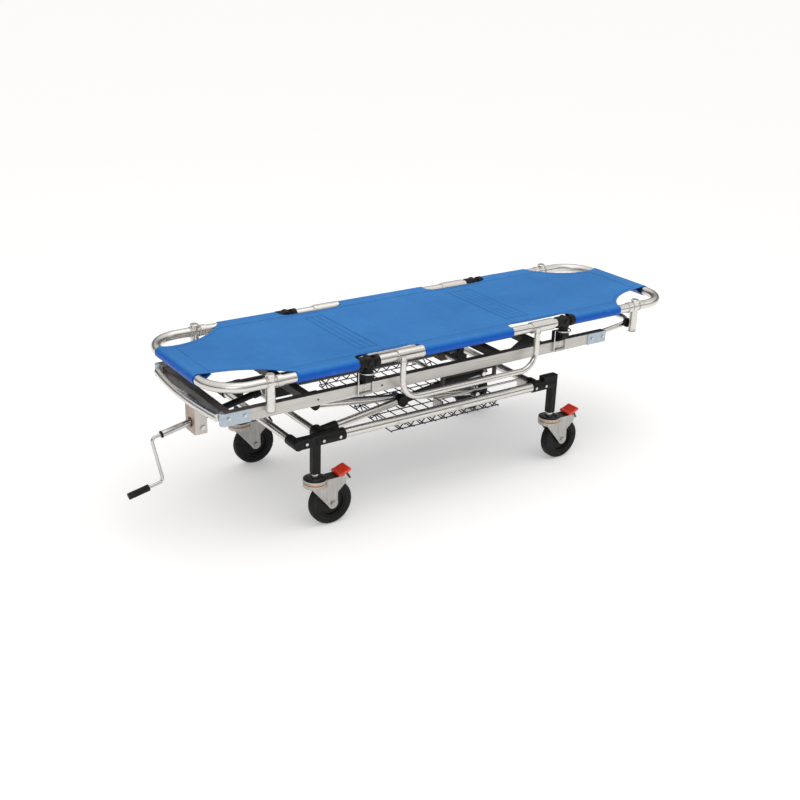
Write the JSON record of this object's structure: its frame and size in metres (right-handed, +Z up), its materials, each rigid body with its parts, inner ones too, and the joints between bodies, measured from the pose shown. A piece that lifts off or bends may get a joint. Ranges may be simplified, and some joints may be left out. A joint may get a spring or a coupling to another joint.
{
  "type": "ambulance cot",
  "caption": "Wheeled ambulance cot: crank-raised scissor cart with a detachable folding fabric litter, drop-down guard rails and braked swivel casters.",
  "frame": {"origin": "on the floor, under the middle of the cot's overall length and width", "axes": "+X towards the patient's head, +Z up, -Y to the patient's left"},
  "size_m": [2.0709, 0.602, 0.555],
  "materials": {
    "litter_alloy": "satin, lightly polished",
    "knuckle_black": "moulded black, fine grain",
    "plated_steel": "polished zinc plate",
    "litter_cloth": "coated blue cloth, sewn",
    "rail_alloy": "brushed",
    "zinc_plate": "bluish zinc plate",
    "dark_steel": "dull grey paint",
    "black_steel": "satin black powder coat",
    "cast_black": "black coated casting",
    "bracket_alloy": "satin casting",
    "screw_steel": "oiled",
    "nut_brass": "machined",
    "roller_nylon": "smooth",
    "basket_wire": "dipped black",
    "fork_steel": "pressed, zinc plated",
    "hub_plastic": "moulded",
    "tyre_rubber": "matte rubber",
    "pedal_red": "moulded red",
    "grip_rubber": "matte"
  },
  "bodies": {
    "base": {"base_side_tubes": "litter_alloy", "base_cross_tubes": "litter_alloy", "corner_castings": "cast_black", "base_fasteners": "plated_steel", "storage_basket": "basket_wire", "lower_tracks": "litter_alloy"},
    "outer_arms": {"outer_lift_arms": "litter_alloy", "outer_arm_fittings": "black_steel"},
    "inner_arms": {"inner_lift_arms": "litter_alloy", "lower_roller_shaft": "plated_steel"},
    "lower_roller_pair": {"lower_rollers": "roller_nylon"},
    "cart_top": {"top_rails": "rail_alloy", "rail_plates": "zinc_plate", "rail_bolts": "plated_steel", "top_cross_members": "dark_steel", "foot_bow": "litter_alloy", "head_bow": "litter_alloy", "litter_rests": "knuckle_black", "crank_bracket": "bracket_alloy", "lift_brackets": "black_steel", "upper_tracks": "dark_steel"},
    "screw_yoke": {"yoke_beam": "litter_alloy", "screw_nut": "nut_brass"},
    "upper_roller_pair": {"upper_rollers": "roller_nylon"},
    "screw": {"lead_screw": "screw_steel"},
    "crank": {"crank_rod": "plated_steel", "drive_shaft": "black_steel"},
    "grip": {"crank_grip": "grip_rubber"},
    "litter": {"litter_side_tubes": "litter_alloy", "mid_knuckles": "knuckle_black", "hinge_pins": "plated_steel", "fabric_mid": "litter_cloth"},
    "head_section": {"head_frame": "litter_alloy", "head_knuckles": "knuckle_black", "fabric_head": "litter_cloth"},
    "foot_section": {"foot_frame": "litter_alloy", "foot_knuckles": "knuckle_black", "fabric_foot": "litter_cloth"},
    "guard_left": {"guard_rail_left": "litter_alloy"},
    "guard_right": {"guard_rail_right": "litter_alloy"},
    "latch_foot_left": {"latch_bail_foot_left": "plated_steel"},
    "caster_foot_left": {"caster_fork_foot_left": "fork_steel"},
    "wheel_foot_left": {"caster_hub_foot_left": "hub_plastic", "caster_tyre_foot_left": "tyre_rubber"},
    "pedal_foot_left": {"brake_pedal_foot_left": "pedal_red"},
    "latch_foot_right": {"latch_bail_foot_right": "plated_steel"},
    "caster_foot_right": {"caster_fork_foot_right": "fork_steel"},
    "wheel_foot_right": {"caster_hub_foot_right": "hub_plastic", "caster_tyre_foot_right": "tyre_rubber"},
    "pedal_foot_right": {"brake_pedal_foot_right": "pedal_red"},
    "latch_head_left": {"latch_bail_head_left": "plated_steel"},
    "caster_head_left": {"caster_fork_head_left": "fork_steel"},
    "wheel_head_left": {"caster_hub_head_left": "hub_plastic", "caster_tyre_head_left": "tyre_rubber"},
    "pedal_head_left": {"brake_pedal_head_left": "pedal_red"},
    "latch_head_right": {"latch_bail_head_right": "plated_steel"},
    "caster_head_right": {"caster_fork_head_right": "fork_steel"},
    "wheel_head_right": {"caster_hub_head_right": "hub_plastic", "caster_tyre_head_right": "tyre_rubber"},
    "pedal_head_right": {"brake_pedal_head_right": "pedal_red"}
  },
  "joints": [
    {"name": "lift", "type": "hinge", "parent": "base", "child": "outer_arms", "pos_m": [-0.47541, 0, 0.3], "axis": [0, -1, 0], "range_deg": [0, 28]},
    {"name": "arm_cross", "type": "hinge", "parent": "outer_arms", "child": "inner_arms", "pos_m": [-0.15541, 0, 0.343], "axis": [0, -1, 0], "range_deg": [-57, 1]},
    {"name": "top_pivot", "type": "hinge", "parent": "inner_arms", "child": "cart_top", "pos_m": [-0.47541, 0, 0.386], "axis": [0, -1, 0], "range_deg": [-1, 29]},
    {"name": "yoke_pivot", "type": "hinge", "parent": "outer_arms", "child": "screw_yoke", "pos_m": [0.16459, 0, 0.386], "axis": [0, -1, 0], "range_deg": [-29, 1]},
    {"name": "screw_turn", "type": "hinge", "parent": "cart_top", "child": "screw", "pos_m": [0.08459, 0, 0.386], "axis": [1, 0, 0], "range_deg": [-5, 1293]},
    {"name": "crank_turn", "type": "hinge", "parent": "cart_top", "child": "crank", "pos_m": [-0.56377, 0, 0.386], "axis": [0.9781, 0, 0.2079], "range_deg": [-5, 1293]},
    {"name": "grip_spin", "type": "hinge", "parent": "crank", "child": "grip", "pos_m": [-0.96473, 0, 0.14027], "axis": [0.9781, 0, 0.2079], "continuous": true},
    {"name": "upper_roller_spin", "type": "hinge", "parent": "screw_yoke", "child": "upper_roller_pair", "pos_m": [0.16459, 0, 0.386], "axis": [0, 1, 0], "continuous": true},
    {"name": "lower_roller_spin", "type": "hinge", "parent": "inner_arms", "child": "lower_roller_pair", "pos_m": [0.16459, 0, 0.3], "axis": [0, 1, 0], "continuous": true},
    {"name": "litter_lift_off", "type": "slide", "parent": "cart_top", "child": "litter", "axis": [0, 0, 1], "range_m": [0, 0.15]},
    {"name": "head_raise", "type": "hinge", "parent": "litter", "child": "head_section", "pos_m": [0.49459, 0, 0.528], "axis": [0, -1, 0], "range_deg": [0, 75]},
    {"name": "foot_raise", "type": "hinge", "parent": "litter", "child": "foot_section", "pos_m": [-0.32541, 0, 0.528], "axis": [0, 1, 0], "range_deg": [0, 35]},
    {"name": "guard_left_swing", "type": "hinge", "parent": "litter", "child": "guard_left", "pos_m": [0.08459, -0.262, 0.528], "axis": [-1, 0, 0], "range_deg": [0, 170]},
    {"name": "guard_right_swing", "type": "hinge", "parent": "litter", "child": "guard_right", "pos_m": [0.08459, 0.262, 0.528], "axis": [1, 0, 0], "range_deg": [0, 170]},
    {"name": "latch_foot_left_swing", "type": "hinge", "parent": "cart_top", "child": "latch_foot_left", "pos_m": [-0.32541, -0.2525, 0.418], "axis": [1, 0, 0], "range_deg": [0, 120]},
    {"name": "caster_foot_left_swivel", "type": "hinge", "parent": "base", "child": "caster_foot_left", "pos_m": [-0.51541, -0.262, 0.178], "axis": [0, 0, 1], "continuous": true},
    {"name": "wheel_foot_left_spin", "type": "hinge", "parent": "caster_foot_left", "child": "wheel_foot_left", "pos_m": [-0.46041, -0.262, 0.075], "axis": [0, 1, 0], "continuous": true},
    {"name": "pedal_foot_left_press", "type": "hinge", "parent": "caster_foot_left", "child": "pedal_foot_left", "pos_m": [-0.43341, -0.262, 0.171], "axis": [0, 1, 0], "range_deg": [0, 8]},
    {"name": "latch_foot_right_swing", "type": "hinge", "parent": "cart_top", "child": "latch_foot_right", "pos_m": [-0.32541, 0.2525, 0.418], "axis": [-1, 0, 0], "range_deg": [0, 120]},
    {"name": "caster_foot_right_swivel", "type": "hinge", "parent": "base", "child": "caster_foot_right", "pos_m": [-0.51541, 0.262, 0.178], "axis": [0, 0, 1], "continuous": true},
    {"name": "wheel_foot_right_spin", "type": "hinge", "parent": "caster_foot_right", "child": "wheel_foot_right", "pos_m": [-0.46041, 0.262, 0.075], "axis": [0, 1, 0], "continuous": true},
    {"name": "pedal_foot_right_press", "type": "hinge", "parent": "caster_foot_right", "child": "pedal_foot_right", "pos_m": [-0.43341, 0.262, 0.171], "axis": [0, 1, 0], "range_deg": [0, 8]},
    {"name": "latch_head_left_swing", "type": "hinge", "parent": "cart_top", "child": "latch_head_left", "pos_m": [0.49459, -0.2525, 0.418], "axis": [1, 0, 0], "range_deg": [0, 120]},
    {"name": "caster_head_left_swivel", "type": "hinge", "parent": "base", "child": "caster_head_left", "pos_m": [0.46459, -0.262, 0.178], "axis": [0, 0, 1], "continuous": true},
    {"name": "wheel_head_left_spin", "type": "hinge", "parent": "caster_head_left", "child": "wheel_head_left", "pos_m": [0.51959, -0.262, 0.075], "axis": [0, 1, 0], "continuous": true},
    {"name": "pedal_head_left_press", "type": "hinge", "parent": "caster_head_left", "child": "pedal_head_left", "pos_m": [0.54659, -0.262, 0.171], "axis": [0, 1, 0], "range_deg": [0, 8]},
    {"name": "latch_head_right_swing", "type": "hinge", "parent": "cart_top", "child": "latch_head_right", "pos_m": [0.49459, 0.2525, 0.418], "axis": [-1, 0, 0], "range_deg": [0, 120]},
    {"name": "caster_head_right_swivel", "type": "hinge", "parent": "base", "child": "caster_head_right", "pos_m": [0.46459, 0.262, 0.178], "axis": [0, 0, 1], "continuous": true},
    {"name": "wheel_head_right_spin", "type": "hinge", "parent": "caster_head_right", "child": "wheel_head_right", "pos_m": [0.51959, 0.262, 0.075], "axis": [0, 1, 0], "continuous": true},
    {"name": "pedal_head_right_press", "type": "hinge", "parent": "caster_head_right", "child": "pedal_head_right", "pos_m": [0.54659, 0.262, 0.171], "axis": [0, 1, 0], "range_deg": [0, 8]}
  ],
  "couplings": [
    {"joint": "arm_cross", "follows": "lift", "ratio": -2},
    {"joint": "top_pivot", "follows": "lift", "ratio": 1},
    {"joint": "yoke_pivot", "follows": "lift", "ratio": -1},
    {"joint": "screw_turn", "follows": "lift", "ratio": 46},
    {"joint": "crank_turn", "follows": "lift", "ratio": 46}
  ]
}
